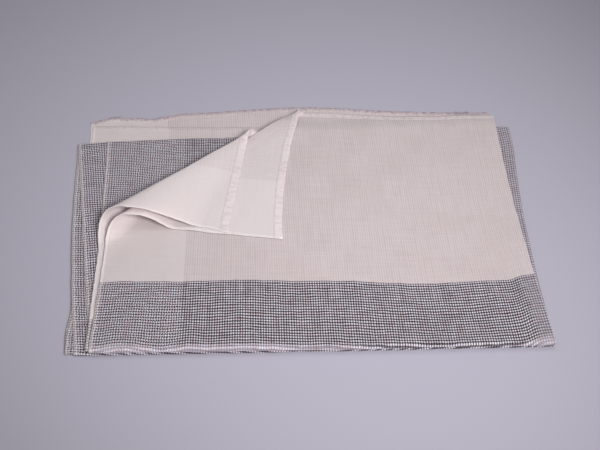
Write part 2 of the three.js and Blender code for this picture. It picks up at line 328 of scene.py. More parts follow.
# The cloth as woven: its width and length, its thickness, and how uneven it lies
cloth = {
    "halfWidth": 484.0,
    "noseArc": 2.2,
    "length": 1442.0,
    "thickness": 0.62,
    "hemThickness": (1.15, 0.9),  # at the top end and the bottom one
    "hemWidth": (9.0, 7.0),
    "hemBlend": (-0.9, 0.6),  # from the hem's width
    "clear": 0.03,  # above the floor
    "uvUnit": 1500.0,  # of cloth to one unit of its UV map
    "hiddenPath": (0, 5, 333, 338, 664, 669),  # along the two hidden passes and their folds
    "unevenHeight": 1.1,
    "unevenLengths": (150, 110, 84, 66, 52, 43),
    "seed": 11,
    "nearHem": 14,
    "nearSelvedge": 12,
}
edgeWaves = {  # how far the edges wander, over which lengths, and a seed
    "hemJag": {"size": 0.6, "lengths": (5.3, 7.9, 13, 31), "seed": 3},
    "selvedgeWave": {"size": 0.6, "lengths": (9, 14, 23, 47), "seed": 4},
    "hemRuffle": {"size": 0.55, "lengths": (8.5, 12.5, 19, 27), "seed": 5},
    "selvedgeLift": {"size": 1.0, "lengths": (37, 61, 90), "seed": 6},
}
clothWidth = 2 * cloth["halfWidth"] + cloth["noseArc"]
luck = np.random.default_rng(cloth["seed"])
waveTurns = luck.uniform(0, 2 * np.pi, (len(cloth["unevenLengths"]), 2))


def unevenAt(x, y):
    height = np.zeros(np.shape(x))
    for length, (turn, phase) in zip(cloth["unevenLengths"], waveTurns):
        along = x * math.cos(turn) + y * math.sin(turn)
        height = height + length * np.sin(2 * np.pi * along / length + phase)
    return cloth["unevenHeight"] * height / sum(cloth["unevenLengths"])


def ripple(name, at):
    wave = edgeWaves[name]
    phases = np.random.default_rng(wave["seed"]).uniform(0, 2 * np.pi, len(wave["lengths"]))
    waves = [np.sin(2 * np.pi * at / w + p) for w, p in zip(wave["lengths"], phases)]
    return wave["size"] * sum(waves) / len(waves)


def risen(name, at):
    return (edgeWaves[name]["size"] + ripple(name, at)) / 2


# How far down the flat cloth a place in a pass, or in the fold after it, lies
def clothAlong(half, number, v, fraction, turn):
    top = placeY(half, 0, v) - placeY(half, 1, v)
    bottom = placeY(half, 4, v) - placeY(half, 3, v)
    if number == 0 and turn is None:
        return fraction * top
    if number == 3:
        return cloth["length"] - (1 - fraction) * bottom
    path = cloth["hiddenPath"]
    step = 2 * number + (0 if turn is not None else -1)
    share = mix(path[step], path[step + 1], fraction if turn is None else turn) / path[-1]
    return mix(top, cloth["length"] - bottom, share)


# Turns plan points of one layer into cloth in space, with its small unevenness
def settle(half, x, y, layer, across, along, isTop):
    fromHem = np.minimum(along, cloth["length"] - along)
    fromSelvedge = np.minimum(across, clothWidth - across)
    nearHem = np.clip(1 - fromHem / cloth["nearHem"], 0, 1) ** 2
    nearSelvedge = np.clip(1 - fromSelvedge / cloth["nearSelvedge"], 0, 1) ** 2
    y = y + nearHem * ripple("hemJag", across)
    ending = (1 - smooth(cloth["length"] - along, 0, bottomHem["over"])) * (half == 0)
    y = y + ending * through(bottomHem["share"], bottomHem["out"], across / cloth["halfWidth"])
    x = x + nearSelvedge * ripple("selvedgeWave", along)
    fromFold = np.abs(along - foldBulge["along"]) - foldBulge["from"]
    bulge = np.exp(-((fromFold / foldBulge["over"]) ** 2) / 2) * (half == 1)
    x = x - foldBulge["out"] * bulge * (1 - smooth(fromSelvedge, 0, foldBulge["across"]))
    bridge, lift = 0.0, 0.0
    if isTop:
        x, y, lift, bridge, beyond = turned(half, x, y)
        x, y = drawnAbout(half, x, y, fromSelvedge, fromHem, beyond)
    z = heightAt(x, y, layer, bridge) + lift
    z = z + unevenAt(x, y) * np.clip(layer / topLayer, 0, 1)
    z = z + nearHem * risen("hemRuffle", across)
    if isTop:
        z = z + nearSelvedge * risen("selvedgeLift", along)
    return np.stack([x - stack["middle"][0], y - stack["middle"][1], z], -1)


# Across the cloth, 0 to 1 is the upper half, 1 to 2 the nose of the long fold and 2 to 3 the lower half.
# This gives a point's half, its place across that half, its layer, and its way out at the nose and fold.
def layerOf(across, number, turn):
    half = (across >= 1.5).astype(int)
    v = np.minimum(np.where(half == 0, across, 3 - across), 1)
    nose = np.clip(across - 1, 0, 1) * np.pi
    offset = stack["pitch"] / 2 * np.cos(nose)
    sideways = stack["pitch"] / 2 * np.sin(nose)
    faceUp = 1 if number % 2 == 0 else -1
    base = topLayer - 0.5 - 2 * number
    if turn is None:
        return half, v, base + faceUp * offset / stack["pitch"], sideways, 0.0
    radius = stack["pitch"] + faceUp * offset
    layer = base - 1 + radius * np.cos(turn * np.pi) / stack["pitch"]
    return half, v, layer, sideways, -faceUp * radius * np.sin(turn * np.pi)


def acrossCloth(across):
    nose = np.clip(across - 1, 0, 1) * cloth["noseArc"]
    upper = np.minimum(across, 1) * cloth["halfWidth"]
    return upper + nose + np.clip(across - 2, 0, 1) * cloth["halfWidth"]


def pickHalf(half, make):
    first, second = make(0), make(1)
    return [np.where(half == 0, a, b) for a, b in zip(first, second)]


# One row of points across the cloth, in a pass or in the fold after it, and their place on the flat cloth
def rowOfCloth(across, number, fraction, turn=None):
    half, v, layer, sideways, forward = layerOf(across, number, turn)
    x, y = pickHalf(half, lambda h: flatPoint(h, number, v, fraction))
    along = np.where(half == 0, *(clothAlong(h, number, v, fraction, turn) for h in (0, 1)))
    over = acrossCloth(across)
    isTop = number == 0 and turn is None
    place = settle(half, x + sideways, y + forward, layer, over, along, isTop)
    return place, np.stack([over, along], -1)


# Rows and columns of the sheet, closer together where it bends or shows
grid = {
    "edge": (0, 0.0015, 0.005, 0.010, 0.016, 0.023, 0.030, 0.038),
    "upperStep": 0.0092,
    "lowerStep": 0.0135,
    "lowerHiddenFrom": 0.6,
    "lowerHiddenStep": 0.035,
    "lowerEnd": 0.99,
    "nearCrease": 0.003,  # no column closer to the one where the crease meets the hem
    "noseSteps": 6,
    "hemRows": (0, 1.2, 3.4, 5.8, 7.4, 9.5, 13),
    "topLength": 379.0,
    "topStep": 4.7,
    "passLength": 330.0,
    "passSteps": {1: 11.0, 2: 19.0, 3: 16.0},
    "bottomLength": 390.0,
    "foldSteps": 8,
    "turnSteps": 16,
    "cornerSteps": 38,
}


def halfColumns(half, hemShare):
    edgeEnd = grid["edge"][-1]
    if half == 0:
        step = grid["upperStep"]
        inner = np.arange(edgeEnd + step, 1 - step / 2, step)
    else:
        step, hiddenFrom = grid["lowerHiddenStep"], grid["lowerHiddenFrom"]
        shown = np.arange(edgeEnd + grid["lowerStep"], hiddenFrom, grid["lowerStep"])
        inner = np.concatenate([shown, np.arange(hiddenFrom + step / 2, grid["lowerEnd"], step)])
    inner = inner[np.abs(inner - hemShare) > grid["nearCrease"]]
    return np.sort(np.concatenate([grid["edge"], inner, [hemShare, 1.0]]))


def evenShares(length, step):
    return np.linspace(0, 1, max(2, round(length / step)) + 1)


# Points of the middle of the cloth, where each lies on the flat cloth, and the quads between them
class Sheet:
    def __init__(self):
        self.points, self.flat, self.quads = [], [], []
        self.count = 0

    def addRow(self, points, flat):
        self.points.append(np.asarray(points, float))
        self.flat.append(np.asarray(flat, float))
        first = self.count
        self.count += len(points)
        return np.arange(first, self.count)

    def addStrip(self, rowA, rowB):
        self.quads.append(np.stack([rowA[:-1], rowB[:-1], rowB[1:], rowA[1:]], -1))


# Fraction of the top pass at which each column leaves the turn of the corner
def topShares(across, hemShare):
    half, v, *_ = layerOf(across, 0, None)

    def past(fraction):
        x, y = pickHalf(half, lambda h: flatPoint(h, 0, v, fraction))
        along, out = creaseCoordinates(half, x, y)
        return out + np.pi / 2 * roundnessAt(half, along)

    found = solve(past, np.zeros(len(across)), np.ones(len(across)))
    limit = np.where(half == 0, hemShare[0], hemShare[1])
    return np.where((v > limit - 1e-6) | ((across > 1) & (across < 2)), 0.0, found)


# Where plan points of the top pass lie on the flat cloth
def flatOnCloth(half, x, y):
    fraction = np.zeros(np.shape(x))
    for _ in range(6):
        left = selvedgeX(half, 0, fraction)
        v = (x - left) / (rightX(0, fraction) - stack["pitch"] / 2 - left)
        start = placeY(half, 0, np.clip(v, 0, 1))
        fraction = (y - start) / (placeY(half, 1, np.clip(v, 0, 1)) - start)
    across = v * cloth["halfWidth"]
    along = fraction * (placeY(half, 0, np.clip(v, 0, 1)) - placeY(half, 1, np.clip(v, 0, 1)))
    return np.where(half == 0, across, clothWidth - across), along


# The rows of one half from the start of the turn round to the corner's tip
def addCorner(sheet, half, columns, hemShare, startRow, topFractions):
    layer = topLayer - half
    count = int(np.argmin(np.abs(columns - hemShare))) + 1
    near = startRow[:count] if half == 0 else startRow[::-1][:count]
    x, y = flatPoint(half, 0, columns[:count], topFractions[:count])
    along = creaseCoordinates(half, x, y)[0]
    shares = (along - along[0]) / (along[-1] - along[0])

    def addTurned(x, y):
        over, down = flatOnCloth(half, x, y)
        halfs, layers = np.full(np.shape(x), half), np.full(np.shape(x), layer)
        return sheet.addRow(settle(halfs, x, y, layers, over, down, True), np.stack([over, down], -1))

    def strip(rowA, rowB):
        sheet.addStrip(*((rowB, rowA) if half == 0 else (rowA, rowB)))

    for step in range(1, grid["turnSteps"] + 1):
        share = step / grid["turnSteps"]
        selvedge, hemAt = creaseLineEnds(half, share)
        hem = flatPoint(half, 0, hemAt, 0.0)
        start, end = (creaseCoordinates(half, *p)[0] for p in (selvedge, hem))
        alongLine = mix(start, end, shares)
        out = (share - 0.5) * np.pi * roundnessAt(half, alongLine)
        far = addTurned(*creasePoint(half, alongLine, out))
        strip(near, far)
        near = far
    tip = np.array(flatPoint(half, 0, 0.0, 0.0))
    for step in range(1, grid["cornerSteps"]):
        share = step / grid["cornerSteps"]
        start = mix(selvedge, tip, share)
        end = np.array(flatPoint(half, 0, mix(hemAt, 0.0, share), 0.0))
        far = addTurned(mix(start[0], end[0], shares), mix(start[1], end[1], shares))
        strip(near, far)
        near = far
    strip(near, np.repeat(addTurned(tip[:1], tip[1:]), len(near)))


def weaveSheet():
    sheet = Sheet()
    hemShare = [creaseLineEnds(half, 0.0)[1] for half in (0, 1)]
    upper, lower = (halfColumns(half, hemShare[half]) for half in (0, 1))
    nose = 1 + np.arange(1, grid["noseSteps"]) / grid["noseSteps"]
    across = np.concatenate([upper, nose, (3 - lower)[::-1]])
    tops = topShares(across, hemShare)
    topLength, hemRows = grid["topLength"], np.array(grid["hemRows"])
    rows = []

    def add(*place):
        points, flat = rowOfCloth(across, *place)
        rows.append(sheet.addRow(points, flat))
        if len(rows) > 1:
            sheet.addStrip(*rows[-2:])

    rest = evenShares(topLength - hemRows[-1], grid["topStep"])[1:]
    for share in np.concatenate([hemRows / topLength, mix(hemRows[-1] / topLength, 1, rest)]):
        add(0, mix(tops, 1, share))
    for number in range(4):
        if number:
            shares = evenShares(grid["passLength"], grid["passSteps"][number])[1:]
            if number == 3:
                shares = np.concatenate([shares[:-1], 1 - hemRows[::-1] / grid["bottomLength"]])
            for share in np.unique(shares):
                add(number, share + 0 * across)
        if number < 3:
            for turn in evenShares(1, 1 / grid["foldSteps"])[1:]:
                add(number, np.ones(len(across)), turn)
    addCorner(sheet, 0, upper, hemShare[0], rows[0], tops[: len(upper)])
    addCorner(sheet, 1, lower, hemShare[1], rows[0], tops[::-1][: len(lower)])
    return np.concatenate(sheet.points), np.concatenate(sheet.flat), np.concatenate(sheet.quads)


def normalsOf(points, quads):
    a, b, c, d = (points[quads[:, i]] for i in range(4))
    cross = np.cross(c - a, d - b)
    normals = np.zeros_like(points)
    for i in range(4):
        np.add.at(normals, quads[:, i], cross)
    return normals / np.maximum(np.linalg.norm(normals, axis=1), 1e-9)[:, None]


# Edges that only one quad has
def rimOf(quads):
    edges = np.concatenate([quads[:, [i, (i + 1) % 4]] for i in range(4)])
    edges = edges[edges[:, 0] != edges[:, 1]]
    found = {(a, b) for a, b in edges.tolist()}
    return np.array([(a, b) for a, b in edges.tolist() if (b, a) not in found])


# How far the picks rise towards the top end, from the selvedge across to the long fold. Those near the
# first front fold and on the left strips wave and tilt a little more.
pickBow = {
    "across": (0, 30, 80, 160, 240, 350, 430, 455, 468, 484),
    "rise": (-1, -1, -5, -6.5, -9.5, -1.5, 3.5, 5.5, 11.5, 14.5),
    "hemOver": (20, 250),
    "foldWave": {
        "at": 377,
        "over": 45,
        "height": 1.8,
        "length": 80,
        "crest": 33,
        "until": (100, 130),
    },
    "tilt": {"rise": 0.4, "over": 60, "from": (380, 386), "until": (390, 660)},
}


def pickAt(across, along):
    fromSelvedge = np.minimum(across, clothWidth - across)
    fromHem = np.minimum(along, cloth["length"] - along)
    bow = through(pickBow["across"], pickBow["rise"], fromSelvedge)
    wave, tilt = pickBow["foldWave"], pickBow["tilt"]
    nearFold = 1 - smooth(np.abs(along - wave["at"]), 0, wave["over"])
    nearFold = nearFold * (1 - smooth(fromSelvedge, *wave["until"])) * wave["height"]
    waved = nearFold * np.cos(2 * np.pi * (fromSelvedge - wave["crest"]) / wave["length"])
    tilted = smooth(along, *tilt["from"]) * (1 - smooth(along, *tilt["until"]))
    tilted = tilt["rise"] * np.maximum(0, tilt["over"] - fromSelvedge) * tilted
    return along + bow * smooth(fromHem, *pickBow["hemOver"]) + waved + tilted


# The cloth as one closed mesh, and the middle and the rim of its sheet for the threads
def makeCloth():
    points, flat, quads = weaveSheet()
    normals = normalsOf(points, quads)
    fromHem = np.minimum(flat[:, 1], cloth["length"] - flat[:, 1])
    isTop = flat[:, 1] < cloth["length"] / 2
    width, hemThick = (np.where(isTop, *cloth[name]) for name in ("hemWidth", "hemThickness"))
    blendStart, blendEnd = cloth["hemBlend"]
    hemmed = 1 - smooth(fromHem, width + blendStart, width + blendEnd)
    thick = mix(cloth["thickness"], hemThick, hemmed)
    points[:, 2] = np.maximum(points[:, 2], thick / 2 + cloth["clear"])
    shift = normals * thick[:, None] / 2
    count = len(points)
    rim = rimOf(quads)
    under = quads[:, ::-1] + count
    edge = np.stack([rim[:, 1], rim[:, 0], rim[:, 0] + count, rim[:, 1] + count], -1)
    every = np.concatenate([quads, under, edge])
    faces = [list(dict.fromkeys(face)) for face in every.tolist()]
    mesh = bpy.data.meshes.new("scarf_cloth")
    skins = np.concatenate([points + shift, points - shift]) * metres
    mesh.from_pydata(skins.tolist(), [], faces)
    layer = mesh.uv_layers.new(name="clothPlace")
    corners = np.empty(len(mesh.loops), int)
    mesh.loops.foreach_get("vertex_index", corners)
    woven = np.stack([flat[:, 0], pickAt(flat[:, 0], flat[:, 1])], -1)
    layer.data.foreach_set("uv", (np.concatenate([woven, woven])[corners] / cloth["uvUnit"]).ravel())
    rounded = np.ones(len(faces), bool)
    rounded[2 * len(quads):] = False
    mesh.polygons.foreach_set("use_smooth", rounded)
    piece = bpy.data.objects.new("scarf_cloth", mesh)
    bpy.context.scene.collection.objects.link(piece)
    return piece, points, rim


scarf, clothPoints, clothRim = makeCloth()
print("cloth laid:", len(scarf.data.polygons), "faces")


# Shader maths as plain expressions
class Wire:
    def __init__(self, tree, socket):
        self.tree, self.socket = tree, socket

    def node(self, kind, settings=None, inputs=None, output=0):
        made = self.tree.nodes.new(kind)
        for name, value in (settings or {}).items():
            setattr(made, name, value)
        for name, value in (inputs or {}).items():
            if isinstance(value, Wire):
                self.tree.links.new(value.socket, made.inputs[name])
            else:
                made.inputs[name].default_value = value
        return Wire(self.tree, made.outputs[output])

    def maths(self, operation, *values):
        inputs = dict(enumerate(values))
        return self.node("ShaderNodeMath", {"operation": operation}, inputs)

    def __add__(self, other):
        return self.maths("ADD", self, other)

    def __radd__(self, other):
        return self.maths("ADD", other, self)

    def __sub__(self, other):
        return self.maths("SUBTRACT", self, other)

    def __rsub__(self, other):
        return self.maths("SUBTRACT", other, self)

    def __mul__(self, other):
        return self.maths("MULTIPLY", self, other)

    def __rmul__(self, other):
        return self.maths("MULTIPLY", other, self)

    def __truediv__(self, other):
        return self.maths("DIVIDE", self, other)

    def __rtruediv__(self, other):
        return self.maths("DIVIDE", other, self)

    def cosine(self):
        return self.maths("COSINE", self)

    def positive(self):
        return self.maths("ABSOLUTE", self)

    def low(self, other):
        return self.maths("MINIMUM", self, other)

    def high(self, other):
        return self.maths("MAXIMUM", self, other)

    def clamped(self):
        return self.low(1.0).high(0.0)

    def stepUp(self, start, end):
        values = {"Value": self, "From Min": start, "From Max": end}
        return self.node("ShaderNodeMapRange", {"interpolation_type": "SMOOTHSTEP"}, values)

    # The first colour where this is 0 and the second where it is 1
    def mixed(self, first, second):
        ends = {6: first if isinstance(first, Wire) else (*first, 1)}
        ends[7] = second if isinstance(second, Wire) else (*second, 1)
        settings = {"data_type": "RGBA", "clamp_factor": True}
        return self.node("ShaderNodeMix", settings, {0: self, **ends}, 2)

    # Noise over this and another measure, from 0 to 1, with patches of about this size
    def noiseWith(self, other, width, height, detail=1.0):
        place = self.node("ShaderNodeCombineXYZ", None, {0: self / width, 1: other / height})
        inputs = {"Vector": place, "Scale": 1.0, "Detail": detail}
        return self.node("ShaderNodeTexNoise", {"noise_dimensions": "2D"}, inputs)


def newMaterial(name):
    material = bpy.data.materials.new(name)
    material.use_nodes = True
    tree = material.node_tree
    tree.nodes.clear()
    shader = tree.nodes.new("ShaderNodeBsdfPrincipled")
    out = tree.nodes.new("ShaderNodeOutputMaterial")
    tree.links.new(shader.outputs[0], out.inputs[0])
    return material, tree, shader


# A colour as seen on a screen, 0 to 255, turned into the linear values that shaders take
def linear(*colour):
    return tuple(((c / 255 + 0.055) / 1.055) ** 2.4 for c in colour)


# The weave: an open plain weave, cream at both ends and with every second pick dark in between. Its warp
# is plain along both selvedges and dark and cream by turns between them. A patch is the size of a noise
# across and along the cloth, and an edge is where a change starts and where it ends.
weave = {
    "plainBorder": 93.0,
    "borderEdge": (-0.6, 0.6),
    "creamEnd": 287.0,
    "creamEdge": (-0.8, 0.8),
    "pickPitch": 3.46,
    "endPitch": 2.72,
    "pickDrift": (((70, 70), 3.6), ((16, 12), 1.7)),  # patch, and how far picks drift in it
    "endPatch": (9, 1.9),
    "endDrift": (6.5, 1.2),  # in the plain border and inside it
    "rowLength": 25,
    "rowUneven": 1.1,
    "endLength": 40,
    "endUneven": 1.4,
    "rowEdge": (-0.5, 0.3),
    "gapEdge": (0.05, 0.75),
    "endEdge": (-0.45, 0.35),
    "dashGap": 0.5,  # how far a gap between ends lightens a dark pick in the border
    "dashEnd": 0.6,  # how far a dark end darkens a light pick there
    "dotGap": 0.24,
    "dotEnd": 0.7,
    "yarnPatch": (1.3, 1.3),
    "relief": {"pick": 0.14, "end": 0.07, "yarn": 0.3, "pucker": 0.5, "stitch": 0.3},
    "bump": {"Strength": 0.5, "Distance": 0.0006},  # in metres
    "finish": {
        "Subsurface Weight": 0.5,  # light comes through the thin cloth
        "Subsurface Radius": (1.0, 0.9, 0.87),
        "Subsurface Scale": 0.004,  # in metres
        "Roughness": 0.92,
        "Specular IOR Level": 0.2,
        "Sheen Weight": 0.2,
        "Sheen Roughness": 0.6,
    },
}
edgeLook = {  # how the selvedges and hems differ from the cloth inside them
    "patch": (3, 5),
    "dullWander": 6.0,  # of the selvedge's lighter dark picks
    "dullEdge": (2.0, 6.0),
    "dullLeast": 0.66,
    "brightWander": 1.6,  # of its bright outermost ends
    "brightEdge": (2.2, 3.8),
    "bright": 0.8,
    "topEdge": (-0.8, 0.4),  # from the hem's width, as in the two below
    # A line just inside the top hem is painted darker in patches: partly its stitches, partly painted
    # shade where the doubled hem steps down onto the cloth
    "stitchAt": 0.6,
    "stitchEdge": (1.4, 1.6),
    "stitchShadeDepth": (0.7, -0.1),
    "topHem": 0.38,
    # The top hem's puckers are painted darker: painted shade in their hollows
    "puckerPatch": (4.5, 14),
    "puckerEdge": (0.5, 0.72),
    "pucker": 0.5,
    # The lowest end's hem is painted darker, in lilac and purple patches: partly a frayed edge, partly
    # painted shade where it lies low at the back of the stack; stronger on the upper half's end, the
    # lowest layer
    "bottomWander": 8.0,
    "bottomEdge": (0.25, 1.0),  # in shares of the hem's width
    "bottomHem": (0.75, 0.25),  # how strong on the upper and the lower half
    "mottlePatch": (5, 3, 2.0),
    "mottleEdge": (0.35, 0.65),
}
tones = {
    "cream": linear(206, 193, 193),
    "creamWarm": linear(200, 186, 185),
    # a lit, paler cream for the painted highlight on the turned corner
    "creamLit": linear(220, 206, 206),
    "pinstripe": linear(160, 143, 147),
    "pickDark": linear(30, 25, 33),
    "pickLight": linear(222, 215, 228),
    "pickPink": linear(214, 196, 204),
    "selvedge": linear(226, 215, 214),
    "topHem": linear(222, 211, 211),
    # painted shade for the lowest hem, in lilac and purple
    "shadedLilac": linear(178, 160, 168),
    "shadedPurple": linear(134, 116, 128),
    "pinkPatch": (8, 8),
    "pinkEdge": (0.3, 0.8),
    "warmPatch": (60, 60, 3.0),
    "warmEdge": (0.3, 0.75),
    "streakPatch": (45, 2.2),
    "warmth": (0.7, 0.4),  # from warm patches and from streaks
    "grain": (0.4, 0.2),  # from the yarn and from streaks
    "pinstripes": {"all": 0.12, "ends": 0.14, "uneven": 0.26, "picks": 0.03},
    "yarnDark": (0.84, 0.5),
    # The turned corner is painted paler over this reach, along its hem and its selvedge: a painted
    # highlight
    "highlightOver": (flap["hemOver"], 262),  # the turned corner, along its hem and its selvedge
    "highlightEdge": (0.75, 1.02),
    "highlight": 0.8,
    "highlightStripes": 0.5,
    # The first front fold is painted paler, with fewer dark picks: a painted highlight where the fold
    # faces the lamp
    "foldAt": 378.0,  # the first front fold is paler
    "foldEdge": (2.0, 10.0),
    "foldHighlight": 0.42,
    "longFoldEdge": (8.0, 24.0),  # and the long fold has less contrast
    "longFoldPale": 0.45,
    "longFoldDark": 0.26,
}


# Picks drift a little, and dark ones stand between light ones
def weavePattern(across, along, fromSelvedge):
    pick = along
    for patch, drift in weave["pickDrift"]:
        pick = pick + (across.noiseWith(along, *patch) - 0.5) * drift
    striped = (fromSelvedge - weave["plainBorder"]).stepUp(*weave["borderEdge"])
    borderDrift, innerDrift = weave["endDrift"]
    shifted = across.noiseWith(along, *weave["endPatch"]) - 0.5
    shifted = shifted * (borderDrift - striped * (borderDrift - innerDrift))
    rowNoise = across.noiseWith(along, weave["rowLength"], weave["pickPitch"])
    endNoise = across.noiseWith(along, weave["endPitch"], weave["endLength"])
    endUneven = (endNoise - 0.5) * weave["endUneven"]
    pickWave = (pick * (2 * math.pi / weave["pickPitch"])).cosine()
    endWave = (across * (2 * math.pi / weave["endPitch"]) + shifted).cosine()
    rows = (pickWave + (rowNoise - 0.5) * weave["rowUneven"]).stepUp(*weave["rowEdge"])
    gaps = (endWave + endUneven).stepUp(*weave["gapEdge"])
    ends = (endUneven - endWave).stepUp(*weave["endEdge"])
    dashes = rows * (1 - gaps * weave["dashGap"]) + (1 - rows) * ends * weave["dashEnd"]
    dots = rows * (1 - (1 - ends) * weave["dotGap"]) + (1 - rows) * ends * weave["dotEnd"]
    start, stop = weave["creamEnd"], cloth["length"] - weave["creamEnd"]
    middle = (pick - start).stepUp(*weave["creamEdge"]) * (stop - pick).stepUp(*weave["creamEdge"])
    return {
        "dark": middle * (dashes + striped * (dots - dashes)),
        "middle": middle,
        "striped": striped,
        "rows": rows,
        "ends": ends,
        "endNoise": endNoise,
        "pickWave": pickWave,
        "endWave": endWave,
        "yarn": across.noiseWith(along, *weave["yarnPatch"]),
    }


# Where the selvedges, the hems and their stitches show, and where shade is painted along the top hem's
# inner edge, in its puckers and on the lowest hem
def edgeMarks(across, along, fromSelvedge):
    wander = across.noiseWith(along, *edgeLook["patch"]) - 0.5
    topWidth, bottomWidth = cloth["hemWidth"]
    topStart, topEnd = edgeLook["topEdge"]
    stitched = along - (topWidth + edgeLook["stitchAt"])
    before, after = edgeLook["stitchEdge"]
    # how far the frayed edge and its painted shade reach in from the bottom end
    frayAndShadeReach = cloth["length"] - along + wander * edgeLook["bottomWander"]
    pastFrayAndShade = frayAndShadeReach.stepUp(*(bottomWidth * share for share in edgeLook["bottomEdge"]))
    upper, lower = edgeLook["bottomHem"]
    isLower = (across - clothWidth / 2).stepUp(-1, 1)
    return {
        "inside": (fromSelvedge + wander * edgeLook["dullWander"]).stepUp(*edgeLook["dullEdge"]),
        "bright": 1 - (fromSelvedge + wander * edgeLook["brightWander"]).stepUp(*edgeLook["brightEdge"]),
        "topHem": 1 - along.stepUp(topWidth + topStart, topWidth + topEnd),
        "bottomHem": (1 - pastFrayAndShade) * (upper - isLower * (upper - lower)),
        "pucker": across.noiseWith(along, *edgeLook["puckerPatch"]).stepUp(*edgeLook["puckerEdge"]),
        "stitchLineAndShade": stitched.stepUp(-before, 0.0) * (1 - stitched.stepUp(0.0, after)),
        "mottle": across.noiseWith(along, *edgeLook["mottlePatch"]).stepUp(*edgeLook["mottleEdge"]),
    }


# The light yarns: cream or a cool white, warmer in patches, and painted paler on the turned corner as a
# painted highlight, where its slopes catch more light
def lightYarns(across, along, fromSelvedge, woven):
    hemOver, selvedgeOver = tones["highlightOver"]
    highlight = 1 - (fromSelvedge / hemOver + along / selvedgeOver).stepUp(*tones["highlightEdge"])
    streak = across.noiseWith(along, *tones["streakPatch"]) - 0.5
    patchy, streaky = tones["warmth"]
    warmth = across.noiseWith(along, *tones["warmPatch"]).stepUp(*tones["warmEdge"]) * patchy
    warmth = (warmth + streak * streaky).clamped()
    # Painted highlight: the cream of the turned corner is mixed towards a lit, paler cream
    cream = (highlight * tones["highlight"]).mixed(
        warmth.mixed(tones["cream"], tones["creamWarm"]), tones["creamLit"])
    pink = across.noiseWith(along, *tones["pinkPatch"]).stepUp(*tones["pinkEdge"])
    light = pink.mixed(tones["pickLight"], tones["pickPink"])
    share = tones["pinstripes"]
    ends = woven["ends"] * (woven["endNoise"] * share["uneven"] + share["ends"])
    # The pinstripes fade on the turned corner, as part of the same painted highlight
    stripes = woven["striped"] * (1 - highlight * tones["highlightStripes"])
    stripes = stripes * (share["all"] + ends + woven["rows"] * share["picks"])
    yarnGrain, streakGrain = tones["grain"]
    grain = ((woven["yarn"] - 0.5) * yarnGrain + streak * streakGrain + stripes).clamped()
    return (grain * (1 - woven["middle"])).mixed(woven["middle"].mixed(cream, light), tones["pinstripe"])


# How dark each place is: less along the selvedges and at the long fold, and less on the first front fold,
# where fewer dark picks paint a highlight
def darkYarns(along, fromSelvedge, woven, marks):
    least, uneven = tones["yarnDark"]
    dark = woven["dark"] * (least + woven["yarn"] * uneven)
    dark = dark * (edgeLook["dullLeast"] + marks["inside"] * (1 - edgeLook["dullLeast"]))
    # painted highlight along the first front fold
    foldLit = 1 - (along - tones["foldAt"]).positive().stepUp(*tones["foldEdge"])
    nearLong = 1 - (clothWidth / 2 - fromSelvedge).stepUp(*tones["longFoldEdge"])
    dark = dark * (1 - foldLit * tones["foldHighlight"]) * (1 - nearLong * tones["longFoldPale"])
    return (dark + woven["middle"] * nearLong * tones["longFoldDark"]).clamped()


def clothMaterial():
    material, tree, shader = newMaterial("woven_cloth")
    place = tree.nodes.new("ShaderNodeUVMap")
    place.uv_map = "clothPlace"
    uv = Wire(tree, place.outputs[0])
    scaled = uv.node("ShaderNodeVectorMath", {"operation": "SCALE"}, {0: uv, "Scale": cloth["uvUnit"]})
    across = scaled.node("ShaderNodeSeparateXYZ", None, {0: scaled})
    along = Wire(tree, across.socket.node.outputs[1])
    fromSelvedge = across.low(clothWidth - across)
    woven = weavePattern(across, along, fromSelvedge)
    marks = edgeMarks(across, along, fromSelvedge)
    yarns = lightYarns(across, along, fromSelvedge, woven)
    edged = (marks["bright"] * edgeLook["bright"]).mixed(yarns, tones["selvedge"])
    # painted shade in the top hem's puckers
    puckerShaded = (marks["pucker"] * edgeLook["pucker"]).mixed(tones["topHem"], tones["pinstripe"])
    hemmed = (marks["topHem"] * edgeLook["topHem"]).mixed(edged, puckerShaded)
    # the stitch line along the top hem, painted darker: stitches and painted shade
    uneven, least = edgeLook["stitchShadeDepth"]
    stitchLineAndShade = marks["stitchLineAndShade"] * (woven["endNoise"] * uneven + least).clamped()
    stitchShaded = stitchLineAndShade.mixed(hemmed, tones["pinstripe"])
    # The lowest hem: a frayed edge with painted shade, in lilac and purple patches
    bottomHemShaded = marks["bottomHem"].mixed(stitchShaded, marks["mottle"].mixed(tones["shadedLilac"], tones["shadedPurple"]))
    colour = darkYarns(along, fromSelvedge, woven, marks).mixed(bottomHemShaded, tones["pickDark"])
    tree.links.new(colour.socket, shader.inputs["Base Color"])

    for name, value in weave["finish"].items():
        shader.inputs[name].default_value = value
    raised = weave["relief"]
    relief = woven["pickWave"] * raised["pick"] * woven["middle"] + woven["endWave"] * raised["end"]
    relief = relief + woven["yarn"] * raised["yarn"] - marks["stitchLineAndShade"] * raised["stitch"]
    relief = relief - marks["pucker"] * marks["topHem"] * raised["pucker"]
    bump = relief.node("ShaderNodeBump", None, {**weave["bump"], "Height": relief})
    tree.links.new(bump.socket, shader.inputs["Normal"])
    return material


scarf.data.materials.append(clothMaterial())
print("cloth woven")


